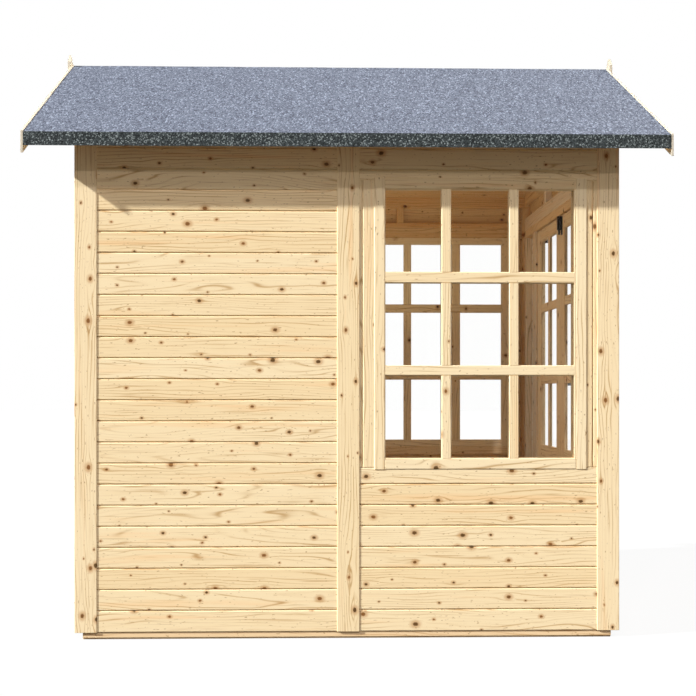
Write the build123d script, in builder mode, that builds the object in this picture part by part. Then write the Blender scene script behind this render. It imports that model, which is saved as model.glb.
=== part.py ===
import os
from math import atan, cos

from build123d import *

os.makedirs("parts", exist_ok=True)

# Plan, over the corner trims. X runs from the back gable to the door gable, Y across, Z up.
plan_length = 2141
plan_width = 2134

# Layers of a wall, from the outside in
trim_thick = 6
clad_thick = 12
stud_deep = 32
stud_wide = 44
trim_wide = 88
trim_ease = 1.5
clad_bottom = 27

# Floor
joist_high = 45
joist_wide = 45
joist_count = 5
joist_inset = 14
bearer_back = 7
deck_thick = 12

# Side walls and roof. The wall height is to the top of the side cladding, under the roof boards.
wall_height = 2001
roof_rise = 524
gable_overhang = 174.5
eave_overhang = 124
eave_band = 53
felt_lip = 5
felt_thick = 3
roof_board = 14
batten_thick = 28
ridge_board_wide = 28
ridge_board_high = 95
purlin_wide = 44
purlin_high = 70
purlin_share = 0.5
rafter_high = 46
barge_thick = 10
barge_high = 86
barge_rise = 4
barge_gap = 1
finial_thick = 14
finial_wide = 70
finial_rise = 48
finial_drop = 190
finial_point = 35

# Windows in the front bay of both side walls, set in from the cover strip, the trim and the wall top
window_rear_gap = 57
window_front_gap = 40
window_sill = 707
window_drop = 234
window_rail = 44
window_lap = 10
window_ease = 3
head_trimmer = 80
cripple_wide = 37
cripple_share = 0.24
glass_thick = 4
glass_back = 22

# End walls
gable_drop = 96
gable_rail_high = 67
door_head_high = 42
noggin_drop = 16
back_bays = 4
gable_stud_share = 0.37

# Doorway and its two leaves
door_opening = 1290
door_post_wide = 95
door_gap = 5
meeting_gap = 6
leaf_floor_gap = 6
leaf_thick = 18
leaf_recess = 23
leaf_stile = 95
leaf_top_rail = 56
leaf_bottom_rail = 120
lock_rail = 95
pane_sill = 693
panel_thick = 10
leaf_ease = 3
casing_wide = 60
sill_ease = 8

# Hinges and door furniture
pin_radius = 4
pin_clear = 0.3
knuckle_radius = 6.5
knuckle_long = 26
collar_long = 14
collar_clear = 0.5
strap_thick = 3
strap_long = 300
strap_tip = 18
plate_long = 54
bolt_plate_long = 86
bolt_plate_wide = 26
bolt_plate_thick = 4
bolt_case_long = 64
bolt_case_wide = 20
bolt_case_deep = 19
bolt_case_ease = 3
bolt_radius = 5
bolt_reach = 14
bolt_top_gap = 4
bolt_knob_radius = 4
bolt_knob_long = 14
knob_height = 1020
knob_plate_wide = 38
knob_plate_high = 130
knob_plate_thick = 3
knob_neck_radius = 9
knob_neck_long = 22
knob_radius = 23
knob_long = 26
knob_edge = 8

# Faces of the layers
half_x = plan_length / 2
half_y = plan_width / 2
clad_x = half_x - trim_thick
clad_y = half_y - trim_thick
frame_x = clad_x - clad_thick
frame_y = clad_y - clad_thick
room_x = frame_x - stud_deep
room_y = frame_y - stud_deep
floor_top = joist_high + deck_thick
sole_top = floor_top + stud_wide

# Roof planes
half_span = half_y + eave_overhang
half_roof = half_x + gable_overhang
slope = roof_rise / half_span
pitch_cos = cos(atan(slope))
felt_drop = felt_thick / pitch_cos
board_drop = roof_board / pitch_cos
rafter_drop = rafter_high / pitch_cos
ridge_top = wall_height + board_drop + felt_drop + slope * clad_y
eave_top = ridge_top - roof_rise
batten_face = half_span - felt_thick
battens_in = batten_face - batten_thick
batten_low = eave_top - eave_band + felt_lip


def felt_z(y):
    return ridge_top - slope * abs(y)


def board_z(y):
    return felt_z(y) - felt_drop


def under_z(y):
    return board_z(y) - board_drop


side_plate_low = under_z(frame_y) - stud_wide
trim_top = under_z(half_y)
gable_rail_top = wall_height - gable_drop
gable_rail_low = gable_rail_top - gable_rail_high
door_head_low = gable_rail_low - door_head_high
noggin_low = wall_height - noggin_drop
purlin_y = room_y * purlin_share
gable_stud_in = room_y * gable_stud_share - stud_wide / 2
gable_stud_out = gable_stud_in + stud_wide

# Window edges
win_out_x0 = trim_wide / 2 + window_rear_gap
win_out_x1 = half_x - trim_wide - window_front_gap
win_x0 = win_out_x0 + window_rail
win_x1 = win_out_x1 - window_rail
win_top = wall_height - window_drop
win_out_low = window_sill - window_rail
win_out_top = win_top + window_rail
win_hole_x0 = win_out_x0 + window_lap
win_hole_x1 = win_out_x1 - window_lap
win_hole_low = win_out_low + window_lap
win_hole_top = win_out_top - window_lap
head_trimmer_top = win_hole_top + head_trimmer
cripple_x = win_x0 + (win_x1 - win_x0) * cripple_share

# Doorway edges
open_y = door_opening / 2
post_y = open_y + door_post_wide
casing_y = open_y + casing_wide
leaf_out_y = open_y - door_gap
leaf_in_y = meeting_gap / 2
leaf_low = floor_top + leaf_floor_gap
leaf_top = door_head_low - door_gap
leaf_front = half_x - leaf_recess
leaf_back = leaf_front - leaf_thick
pane_top = leaf_top - leaf_top_rail
lock_low = pane_sill - lock_rail
bottom_rail_top = leaf_low + leaf_bottom_rail
pane_y0 = leaf_in_y + leaf_stile
pane_y1 = leaf_out_y - leaf_stile
pin_x = half_x + knuckle_radius
pin_y = (open_y + leaf_out_y) / 2
crank_out = pin_y - (pin_radius + knuckle_radius) / 2
crank_in = crank_out - strap_thick
hinge_heights = [
    (leaf_low + bottom_rail_top) / 2,
    (lock_low + pane_sill) / 2,
    (pane_top + leaf_top) / 2,
]


def slab(x0, x1, y0, y1, z0, z1):
    with BuildSketch(Plane.XY.offset(z0)) as foot:
        with Locations(((x0 + x1) / 2, (y0 + y1) / 2)):
            Rectangle(abs(x1 - x0), abs(y1 - y0))
    extrude(foot.sketch, amount=z1 - z0)


def prism(x0, x1, corners):
    with BuildSketch(Plane.YZ.offset(x0)) as section:
        with BuildLine():
            Polyline(*corners, close=True)
        make_face()
    extrude(section.sketch, amount=x1 - x0)


def post(x, y, radius, z0, z1):
    with BuildSketch(Plane.XY.offset(z0)) as foot:
        with Locations((x, y)):
            Circle(radius)
    extrude(foot.sketch, amount=z1 - z0)


def sleeve(x, y, radius, bore, z0, z1):
    with BuildSketch(Plane.XY.offset(z0)) as foot:
        with Locations((x, y)):
            Circle(radius)
            Circle(bore, mode=Mode.SUBTRACT)
    extrude(foot.sketch, amount=z1 - z0)


# Floor: joists along the building, the outer ones rebated under the cladding, and the boarded deck
with BuildPart() as floor_joists:
    joist_step = (frame_y + frame_y - joist_wide) / (joist_count - 1)
    joist_x = frame_x - joist_inset
    for index in range(joist_count):
        joist_y = -frame_y + joist_step * index
        slab(-joist_x, joist_x, joist_y, joist_y + joist_wide, 0, joist_high)
    for side in (-1, 1):
        slab(-joist_x, joist_x, side * frame_y, side * (clad_y - bearer_back), 0, clad_bottom)
floor_joists.part.label = "floor_joists"
export_step(floor_joists.part, "parts/floor_joists.step")

with BuildPart() as floor_deck:
    slab(-frame_x, frame_x, -frame_y, frame_y, joist_high, floor_top)
floor_deck.part.label = "floor_deck"
export_step(floor_deck.part, "parts/floor_deck.step")

# Wall framing
with BuildPart() as side_sole_plates:
    for side in (-1, 1):
        slab(-frame_x, frame_x, side * room_y, side * frame_y, floor_top, sole_top)
side_sole_plates.part.label = "side_sole_plates"
export_step(side_sole_plates.part, "parts/side_sole_plates.step")

with BuildPart() as end_sole_plates:
    slab(-frame_x, -room_x, -room_y, room_y, floor_top, sole_top)
    for side in (-1, 1):
        slab(room_x, frame_x, side * open_y, side * room_y, floor_top, sole_top)
end_sole_plates.part.label = "end_sole_plates"
export_step(end_sole_plates.part, "parts/end_sole_plates.step")

with BuildPart() as side_wall_studs:
    rear_bay_x = -frame_x / 2
    stud_starts = (
        -frame_x,
        rear_bay_x - stud_wide / 2,
        win_hole_x0 - stud_wide,
        win_hole_x1,
        frame_x - stud_wide,
    )
    for side in (-1, 1):
        for stud_x in stud_starts:
            slab(stud_x, stud_x + stud_wide, side * room_y, side * frame_y, sole_top, side_plate_low)
        slab(-stud_wide, stud_wide, side * room_y, side * frame_y, sole_top, side_plate_low)
        cripple_end = cripple_x + cripple_wide
        slab(cripple_x, cripple_end, side * room_y, side * frame_y, head_trimmer_top, side_plate_low)
side_wall_studs.part.label = "side_wall_studs"
export_step(side_wall_studs.part, "parts/side_wall_studs.step")

with BuildPart() as window_trimmers:
    for side in (-1, 1):
        inner = side * room_y
        outer = side * frame_y
        slab(win_hole_x0, win_hole_x1, inner, outer, win_hole_low - stud_wide, win_hole_low)
        slab(win_hole_x0, win_hole_x1, inner, outer, win_hole_top, head_trimmer_top)
window_trimmers.part.label = "window_trimmers"
export_step(window_trimmers.part, "parts/window_trimmers.step")

with BuildPart() as side_wall_plates:
    for side in (-1, 1):
        plate = [
            (side * room_y, side_plate_low),
            (side * frame_y, side_plate_low),
            (side * frame_y, under_z(frame_y)),
            (side * room_y, under_z(room_y)),
        ]
        prism(-frame_x, frame_x, plate)
side_wall_plates.part.label = "side_wall_plates"
export_step(side_wall_plates.part, "parts/side_wall_plates.step")

with BuildPart() as end_wall_studs:
    back_step = (room_y + room_y - stud_wide) / back_bays
    for index in range(back_bays + 1):
        stud_y = -room_y + back_step * index
        slab(-frame_x, -room_x, stud_y, stud_y + stud_wide, sole_top, gable_rail_low)
    for side in (-1, 1):
        slab(room_x, frame_x, side * (room_y - stud_wide), side * room_y, sole_top, door_head_low)
        slab(room_x, frame_x, side * open_y, side * post_y, sole_top, door_head_low)
        for inner, outer in ((-room_x, -frame_x), (room_x, frame_x)):
            stud_top = under_z(gable_stud_out) - rafter_drop
            slab(inner, outer, side * gable_stud_in, side * gable_stud_out, gable_rail_top, stud_top)
end_wall_studs.part.label = "end_wall_studs"
export_step(end_wall_studs.part, "parts/end_wall_studs.step")

with BuildPart() as end_wall_plates:
    for inner, outer in ((-room_x, -frame_x), (room_x, frame_x)):
        slab(inner, outer, -room_y, room_y, gable_rail_low, gable_rail_top)
end_wall_plates.part.label = "end_wall_plates"
export_step(end_wall_plates.part, "parts/end_wall_plates.step")

with BuildPart() as door_head:
    slab(room_x, frame_x, -room_y, room_y, door_head_low, gable_rail_low)
door_head.part.label = "door_head"
export_step(door_head.part, "parts/door_head.step")

with BuildPart() as gable_rafters:
    ridge_face = ridge_board_wide / 2
    for side in (-1, 1):
        rafter = [
            (side * ridge_face, under_z(ridge_face)),
            (side * room_y, under_z(room_y)),
            (side * room_y, under_z(room_y) - rafter_drop),
            (side * ridge_face, under_z(ridge_face) - rafter_drop),
        ]
        prism(-frame_x, -room_x, rafter)
        prism(room_x, frame_x, rafter)
gable_rafters.part.label = "gable_rafters"
export_step(gable_rafters.part, "parts/gable_rafters.step")

with BuildPart() as gable_noggins:
    noggin_top = noggin_low + stud_wide
    rafter_foot = under_z(0) - rafter_drop
    noggin_foot_y = (rafter_foot - noggin_low) / slope
    noggin_head_y = (rafter_foot - noggin_top) / slope
    for side in (-1, 1):
        noggin = [
            (side * gable_stud_out, noggin_low),
            (side * noggin_foot_y, noggin_low),
            (side * noggin_head_y, noggin_top),
            (side * gable_stud_out, noggin_top),
        ]
        prism(-frame_x, -room_x, noggin)
        prism(room_x, frame_x, noggin)
gable_noggins.part.label = "gable_noggins"
export_step(gable_noggins.part, "parts/gable_noggins.step")

# Roof: ridge board, purlins and eaves battens carry the boards; the felt laps down over the eaves
with BuildPart() as roof_timbers:
    ridge_top_z = under_z(ridge_face)
    ridge = [
        (-ridge_face, ridge_top_z - ridge_board_high),
        (ridge_face, ridge_top_z - ridge_board_high),
        (ridge_face, ridge_top_z),
        (0, under_z(0)),
        (-ridge_face, ridge_top_z),
    ]
    prism(-frame_x, frame_x, ridge)
    for side in (-1, 1):
        near_y = purlin_y - purlin_wide / 2
        far_y = purlin_y + purlin_wide / 2
        purlin = [
            (side * near_y, under_z(near_y)),
            (side * far_y, under_z(far_y)),
            (side * far_y, under_z(far_y) - purlin_high),
            (side * near_y, under_z(far_y) - purlin_high),
        ]
        prism(-room_x, room_x, purlin)
        batten = [
            (side * battens_in, under_z(battens_in)),
            (side * batten_face, under_z(batten_face)),
            (side * batten_face, batten_low),
            (side * battens_in, batten_low),
        ]
        prism(-half_roof, half_roof, batten)
roof_timbers.part.label = "roof_timbers"
export_step(roof_timbers.part, "parts/roof_timbers.step")

with BuildPart() as left_roof_boards:
    left_boards = [
        (0, board_z(0)),
        (-batten_face, board_z(batten_face)),
        (-batten_face, under_z(batten_face)),
        (0, under_z(0)),
    ]
    prism(-half_roof, half_roof, left_boards)
left_roof_boards.part.label = "left_roof_boards"
export_step(left_roof_boards.part, "parts/left_roof_boards.step")

with BuildPart() as right_roof_boards:
    right_boards = [
        (0, board_z(0)),
        (batten_face, board_z(batten_face)),
        (batten_face, under_z(batten_face)),
        (0, under_z(0)),
    ]
    prism(-half_roof, half_roof, right_boards)
right_roof_boards.part.label = "right_roof_boards"
export_step(right_roof_boards.part, "parts/right_roof_boards.step")

with BuildPart() as roof_felt:
    felt_foot = eave_top - eave_band
    felt = [
        (-half_span, felt_foot),
        (-half_span, felt_z(half_span)),
        (0, ridge_top),
        (half_span, felt_z(half_span)),
        (half_span, felt_foot),
        (batten_face, felt_foot),
        (batten_face, board_z(batten_face)),
        (0, board_z(0)),
        (-batten_face, board_z(batten_face)),
        (-batten_face, felt_foot),
    ]
    prism(-half_roof, half_roof, felt)
roof_felt.part.label = "roof_felt"
export_step(roof_felt.part, "parts/roof_felt.step")

with BuildPart() as bargeboards:
    barge_in = barge_gap / 2
    for side in (-1, 1):
        board = [
            (side * barge_in, felt_z(barge_in) + barge_rise),
            (side * half_span, felt_z(half_span) + barge_rise),
            (side * half_span, felt_z(half_span) + barge_rise - barge_high),
            (side * barge_in, felt_z(barge_in) + barge_rise - barge_high),
        ]
        prism(half_roof, half_roof + barge_thick, board)
        prism(-half_roof - barge_thick, -half_roof, board)
bargeboards.part.label = "bargeboards"
export_step(bargeboards.part, "parts/bargeboards.step")

with BuildPart() as finials:
    finial_top = ridge_top + finial_rise
    finial_low = ridge_top - finial_drop
    finial_y = finial_wide / 2
    outline = [
        (0, finial_low),
        (finial_y, finial_low + finial_point),
        (finial_y, finial_top - finial_point),
        (0, finial_top),
        (-finial_y, finial_top - finial_point),
        (-finial_y, finial_low + finial_point),
    ]
    barge_face = half_roof + barge_thick
    prism(barge_face, barge_face + finial_thick, outline)
    prism(-barge_face - finial_thick, -barge_face, outline)
finials.part.label = "finials"
export_step(finials.part, "parts/finials.step")

# Cladding of the side walls: a plain rear bay, and a front bay around the window
with BuildPart() as left_rear_cladding:
    slab(-clad_x, 0, -clad_y, -frame_y, clad_bottom, wall_height)
left_rear_cladding.part.label = "left_rear_cladding"
export_step(left_rear_cladding.part, "parts/left_rear_cladding.step")

with BuildPart() as right_rear_cladding:
    slab(-clad_x, 0, frame_y, clad_y, clad_bottom, wall_height)
right_rear_cladding.part.label = "right_rear_cladding"
export_step(right_rear_cladding.part, "parts/right_rear_cladding.step")

with BuildPart() as left_window_cladding:
    slab(0, clad_x, -clad_y, -frame_y, clad_bottom, win_hole_low)
    slab(0, clad_x, -clad_y, -frame_y, win_hole_top, wall_height)
left_window_cladding.part.label = "left_window_cladding"
export_step(left_window_cladding.part, "parts/left_window_cladding.step")

with BuildPart() as right_window_cladding:
    slab(0, clad_x, frame_y, clad_y, clad_bottom, win_hole_low)
    slab(0, clad_x, frame_y, clad_y, win_hole_top, wall_height)
right_window_cladding.part.label = "right_window_cladding"
export_step(right_window_cladding.part, "parts/right_window_cladding.step")

with BuildPart() as window_jamb_boards:
    for side in (-1, 1):
        slab(0, win_hole_x0, side * frame_y, side * clad_y, win_hole_low, win_hole_top)
        slab(win_hole_x1, clad_x, side * frame_y, side * clad_y, win_hole_low, win_hole_top)
window_jamb_boards.part.label = "window_jamb_boards"
export_step(window_jamb_boards.part, "parts/window_jamb_boards.step")

# Cladding of the end walls: the gables run up under the roof boards
with BuildPart() as back_cladding:
    slab(-clad_x, -frame_x, -frame_y, frame_y, clad_bottom, gable_rail_low)
back_cladding.part.label = "back_cladding"
export_step(back_cladding.part, "parts/back_cladding.step")

with BuildPart() as back_gable:
    back_outline = [
        (-frame_y, gable_rail_low),
        (frame_y, gable_rail_low),
        (frame_y, under_z(frame_y)),
        (0, under_z(0)),
        (-frame_y, under_z(frame_y)),
    ]
    prism(-clad_x, -frame_x, back_outline)
back_gable.part.label = "back_gable"
export_step(back_gable.part, "parts/back_gable.step")

with BuildPart() as front_cladding:
    for side in (-1, 1):
        slab(frame_x, clad_x, side * open_y, side * frame_y, clad_bottom, door_head_low)
front_cladding.part.label = "front_cladding"
export_step(front_cladding.part, "parts/front_cladding.step")

with BuildPart() as front_gable:
    front_outline = [
        (-frame_y, door_head_low),
        (frame_y, door_head_low),
        (frame_y, under_z(frame_y)),
        (0, under_z(0)),
        (-frame_y, under_z(frame_y)),
    ]
    prism(frame_x, clad_x, front_outline)
front_gable.part.label = "front_gable"
export_step(front_gable.part, "parts/front_gable.step")

# Trims planted on the cladding
with BuildPart() as side_corner_trims:
    for side in (-1, 1):
        for end in (-1, 1):
            inner = end * (half_x - trim_wide)
            slab(inner, end * half_x, side * clad_y, side * half_y, clad_bottom, trim_top)
    upright_edges = side_corner_trims.edges().filter_by(Axis.Z).group_by(Axis.Y)
    chamfer(upright_edges[0] + upright_edges[-1], length=trim_ease)
side_corner_trims.part.label = "side_corner_trims"
export_step(side_corner_trims.part, "parts/side_corner_trims.step")

with BuildPart() as end_corner_trims:
    for side in (-1, 1):
        for end in (-1, 1):
            inner = side * (clad_y - trim_wide)
            slab(end * clad_x, end * half_x, inner, side * clad_y, clad_bottom, wall_height)
    upright_edges = end_corner_trims.edges().filter_by(Axis.Z).group_by(Axis.X)
    chamfer(upright_edges[0] + upright_edges[-1], length=trim_ease)
end_corner_trims.part.label = "end_corner_trims"
export_step(end_corner_trims.part, "parts/end_corner_trims.step")

with BuildPart() as cover_strips:
    for side in (-1, 1):
        slab(-trim_wide / 2, trim_wide / 2, side * clad_y, side * half_y, clad_bottom, trim_top)
    slab(-half_x, -clad_x, -trim_wide / 2, trim_wide / 2, clad_bottom, gable_rail_low)
    across = cover_strips.edges().filter_by(Axis.Z).group_by(Axis.Y)
    along = cover_strips.edges().filter_by(Axis.Z).group_by(Axis.X)
    chamfer(across[0] + across[-1] + along[0], length=trim_ease)
cover_strips.part.label = "cover_strips"
export_step(cover_strips.part, "parts/cover_strips.step")

# Windows: a lining through the wall with a face that laps over the cladding
with BuildPart() as window_stiles:
    for side in (-1, 1):
        room = side * room_y
        face = side * clad_y
        front = side * half_y
        slab(win_hole_x0, win_x0, room, front, win_hole_low, win_hole_top)
        slab(win_x1, win_hole_x1, room, front, win_hole_low, win_hole_top)
        slab(win_out_x0, win_x0, face, front, win_out_low, win_out_top)
        slab(win_x1, win_out_x1, face, front, win_out_low, win_out_top)
    upright_edges = window_stiles.edges().filter_by(Axis.Z).group_by(Axis.Y)
    chamfer(upright_edges[0] + upright_edges[-1], length=window_ease)
window_stiles.part.label = "window_stiles"
export_step(window_stiles.part, "parts/window_stiles.step")

with BuildPart() as window_rails:
    for side in (-1, 1):
        room = side * room_y
        face = side * clad_y
        front = side * half_y
        slab(win_x0, win_x1, room, front, win_hole_low, window_sill)
        slab(win_x0, win_x1, room, front, win_top, win_hole_top)
        slab(win_x0, win_x1, face, front, win_out_low, window_sill)
        slab(win_x0, win_x1, face, front, win_top, win_out_top)
    level_edges = window_rails.edges().filter_by(Axis.X).group_by(Axis.Y)
    chamfer(level_edges[0] + level_edges[-1], length=window_ease)
window_rails.part.label = "window_rails"
export_step(window_rails.part, "parts/window_rails.step")

with BuildPart() as window_glass:
    for side in (-1, 1):
        glass_out = half_y - glass_back
        glass_in = glass_out - glass_thick
        slab(win_x0, win_x1, side * glass_in, side * glass_out, window_sill, win_top)
window_glass.part.label = "window_glass"
export_step(window_glass.part, "parts/window_glass.step")

# Doorway: casings round the recessed leaves, and a sill under them
with BuildPart() as door_casings:
    for side in (-1, 1):
        slab(clad_x, half_x, side * open_y, side * casing_y, clad_bottom, door_head_low)
    chamfer(door_casings.edges().filter_by(Axis.Z).group_by(Axis.X)[-1], length=leaf_ease)
door_casings.part.label = "door_casings"
export_step(door_casings.part, "parts/door_casings.step")

with BuildPart() as door_casing_head:
    slab(clad_x, half_x, -casing_y, casing_y, door_head_low, door_head_low + casing_wide)
    chamfer(door_casing_head.edges().filter_by(Axis.Y).group_by(Axis.X)[-1], length=leaf_ease)
door_casing_head.part.label = "door_casing_head"
export_step(door_casing_head.part, "parts/door_casing_head.step")

with BuildPart() as door_sill:
    slab(frame_x, half_x, -open_y, open_y, clad_bottom, floor_top)
    chamfer(door_sill.edges().filter_by(Axis.Y).group_by(Axis.X)[-1].sort_by(Axis.Z)[-1], length=sill_ease)
door_sill.part.label = "door_sill"
export_step(door_sill.part, "parts/door_sill.step")


def leaf_stiles(side):
    slab(leaf_back, leaf_front, side * leaf_in_y, side * pane_y0, leaf_low, leaf_top)
    slab(leaf_back, leaf_front, side * pane_y1, side * leaf_out_y, leaf_low, leaf_top)


def ease_leaf(leaf, axis):
    chamfer(leaf.edges().filter_by(axis).group_by(Axis.X)[-1], length=leaf_ease)


def leaf_rails(side):
    slab(leaf_back, leaf_front, side * pane_y0, side * pane_y1, leaf_low, bottom_rail_top)
    slab(leaf_back, leaf_front, side * pane_y0, side * pane_y1, lock_low, pane_sill)
    slab(leaf_back, leaf_front, side * pane_y0, side * pane_y1, pane_top, leaf_top)


def leaf_panel(side):
    panel_in = leaf_front - (leaf_thick + panel_thick) / 2
    slab(panel_in, panel_in + panel_thick, side * pane_y0, side * pane_y1, bottom_rail_top, lock_low)


def leaf_glass(side):
    glass_in = leaf_front - (leaf_thick + glass_thick) / 2
    slab(glass_in, glass_in + glass_thick, side * pane_y0, side * pane_y1, pane_sill, pane_top)


def leaf_straps(side):
    for height in hinge_heights:
        low = height - knuckle_long / 2
        sleeve(pin_x, side * pin_y, knuckle_radius, pin_radius + pin_clear, low, low + knuckle_long)
        slab(leaf_front, pin_x, side * crank_in, side * crank_out, low, low + knuckle_long)
        strap_end = leaf_out_y - strap_long
        with BuildSketch(Plane.YZ.offset(leaf_front)) as strap:
            with BuildLine():
                Polyline(
                    (side * crank_out, height - knuckle_long / 2),
                    (side * crank_out, height + knuckle_long / 2),
                    (side * strap_end, height + strap_tip / 2),
                    (side * strap_end, height - strap_tip / 2),
                    close=True,
                )
            make_face()
            with Locations((side * strap_end, height)):
                Circle(strap_tip / 2)
        extrude(strap.sketch, amount=strap_thick)


def fixed_plates(side):
    collar_start = knuckle_long / 2 + collar_clear
    collar_end = collar_start + collar_long
    plate_face = half_x + strap_thick
    plate_in = side * (pin_y + pin_radius)
    plate_mid = side * (pin_y + knuckle_radius + pin_clear)
    plate_out = side * (open_y + plate_long)
    for height in hinge_heights:
        low = height - collar_end
        high = height + collar_end
        post(pin_x, side * pin_y, pin_radius, low, high)
        slab(half_x, plate_face, plate_mid, plate_out, low, high)
        for foot in (low, height + collar_start):
            post(pin_x, side * pin_y, knuckle_radius, foot, foot + collar_long)
            slab(half_x, plate_face, plate_in, plate_out, foot, foot + collar_long)


# Left door leaf
with BuildPart() as left_door_stiles:
    leaf_stiles(-1)
    ease_leaf(left_door_stiles, Axis.Z)
left_door_stiles.part.label = "left_door_stiles"
export_step(left_door_stiles.part, "parts/left_door_stiles.step")

with BuildPart() as left_door_rails:
    leaf_rails(-1)
    ease_leaf(left_door_rails, Axis.Y)
left_door_rails.part.label = "left_door_rails"
export_step(left_door_rails.part, "parts/left_door_rails.step")

with BuildPart() as left_door_panel:
    leaf_panel(-1)
left_door_panel.part.label = "left_door_panel"
export_step(left_door_panel.part, "parts/left_door_panel.step")

with BuildPart() as left_door_glass:
    leaf_glass(-1)
left_door_glass.part.label = "left_door_glass"
export_step(left_door_glass.part, "parts/left_door_glass.step")

with BuildPart() as left_door_straps:
    leaf_straps(-1)
left_door_straps.part.label = "left_door_straps"
export_step(left_door_straps.part, "parts/left_door_straps.step")

# Right door leaf
with BuildPart() as right_door_stiles:
    leaf_stiles(1)
    ease_leaf(right_door_stiles, Axis.Z)
right_door_stiles.part.label = "right_door_stiles"
export_step(right_door_stiles.part, "parts/right_door_stiles.step")

with BuildPart() as right_door_rails:
    leaf_rails(1)
    ease_leaf(right_door_rails, Axis.Y)
right_door_rails.part.label = "right_door_rails"
export_step(right_door_rails.part, "parts/right_door_rails.step")

with BuildPart() as right_door_panel:
    leaf_panel(1)
right_door_panel.part.label = "right_door_panel"
export_step(right_door_panel.part, "parts/right_door_panel.step")

with BuildPart() as right_door_glass:
    leaf_glass(1)
right_door_glass.part.label = "right_door_glass"
export_step(right_door_glass.part, "parts/right_door_glass.step")

with BuildPart() as right_door_straps:
    leaf_straps(1)
right_door_straps.part.label = "right_door_straps"
export_step(right_door_straps.part, "parts/right_door_straps.step")

# Fixed half of the hinges, with the pins
with BuildPart() as hinge_plates:
    fixed_plates(-1)
    fixed_plates(1)
hinge_plates.part.label = "hinge_plates"
export_step(hinge_plates.part, "parts/hinge_plates.step")

# Tower bolt inside, at the head of the left leaf's meeting stile
with BuildPart() as door_bolt:
    bolt_y = -(leaf_in_y + pane_y0) / 2
    bolt_top = leaf_top - bolt_top_gap
    bolt_low = bolt_top - bolt_plate_long
    plate_back = leaf_back - bolt_plate_thick
    plate_in = bolt_y - bolt_plate_wide / 2
    slab(plate_back, leaf_back, plate_in, plate_in + bolt_plate_wide, bolt_low, bolt_top)
    case_back = plate_back - bolt_case_deep
    case_in = bolt_y - bolt_case_wide / 2
    case_low = bolt_top - bolt_case_long
    slab(case_back, plate_back, case_in, case_in + bolt_case_wide, case_low, bolt_top)
    chamfer(door_bolt.edges().filter_by(Axis.Z).group_by(Axis.X)[0], length=bolt_case_ease)
    bolt_x = leaf_back - bolt_reach
    post(bolt_x, bolt_y, bolt_radius, bolt_low, bolt_top)
    with BuildSketch(Plane.XZ.offset(-bolt_y)) as grip:
        with Locations((bolt_x, (bolt_low + case_low) / 2)):
            Circle(bolt_knob_radius)
    extrude(grip.sketch, amount=bolt_knob_long)
door_bolt.part.label = "door_bolt"
export_step(door_bolt.part, "parts/door_bolt.step")

# Knob on a plate outside, on the right leaf's meeting stile
with BuildPart() as door_knob:
    knob_y = (leaf_in_y + pane_y0) / 2
    plate_face = leaf_front + knob_plate_thick
    plate_low = knob_height - knob_plate_high / 2
    plate_in = knob_y - knob_plate_wide / 2
    plate_top = plate_low + knob_plate_high
    slab(leaf_front, plate_face, plate_in, plate_in + knob_plate_wide, plate_low, plate_top)
    with BuildSketch(Plane.YZ.offset(plate_face)) as neck:
        with Locations((knob_y, knob_height)):
            Circle(knob_neck_radius)
    extrude(neck.sketch, amount=knob_neck_long)
    with BuildSketch(Plane.YZ.offset(plate_face + knob_neck_long)) as ball:
        with Locations((knob_y, knob_height)):
            Circle(knob_radius)
    extrude(ball.sketch, amount=knob_long)
    round_edges = door_knob.edges().filter_by(GeomType.CIRCLE).sort_by(Axis.X)[-1]
    fillet(round_edges, radius=knob_edge)
door_knob.part.label = "door_knob"
export_step(door_knob.part, "parts/door_knob.step")
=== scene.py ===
import math
import random

import bmesh
import bpy
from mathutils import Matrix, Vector, noise


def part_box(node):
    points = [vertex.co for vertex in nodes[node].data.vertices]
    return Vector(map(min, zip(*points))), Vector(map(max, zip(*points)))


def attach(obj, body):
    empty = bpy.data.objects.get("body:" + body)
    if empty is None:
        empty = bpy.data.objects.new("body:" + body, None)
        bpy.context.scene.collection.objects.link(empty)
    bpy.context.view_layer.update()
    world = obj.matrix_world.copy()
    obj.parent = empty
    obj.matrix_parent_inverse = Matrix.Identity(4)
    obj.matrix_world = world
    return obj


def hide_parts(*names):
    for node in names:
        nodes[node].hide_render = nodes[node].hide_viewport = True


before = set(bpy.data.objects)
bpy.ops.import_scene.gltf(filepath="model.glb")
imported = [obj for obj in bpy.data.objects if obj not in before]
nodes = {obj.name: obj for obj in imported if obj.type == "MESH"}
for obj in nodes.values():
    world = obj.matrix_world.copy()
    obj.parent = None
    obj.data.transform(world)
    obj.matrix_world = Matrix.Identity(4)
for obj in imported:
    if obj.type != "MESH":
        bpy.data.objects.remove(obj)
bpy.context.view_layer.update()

X = Vector((1, 0, 0))
Y = Vector((0, 1, 0))
Z = Vector((0, 0, 1))
SIDES = ((-1, "left"), (1, "right"))

# ---------------------------------------------------------------- materials


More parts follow.
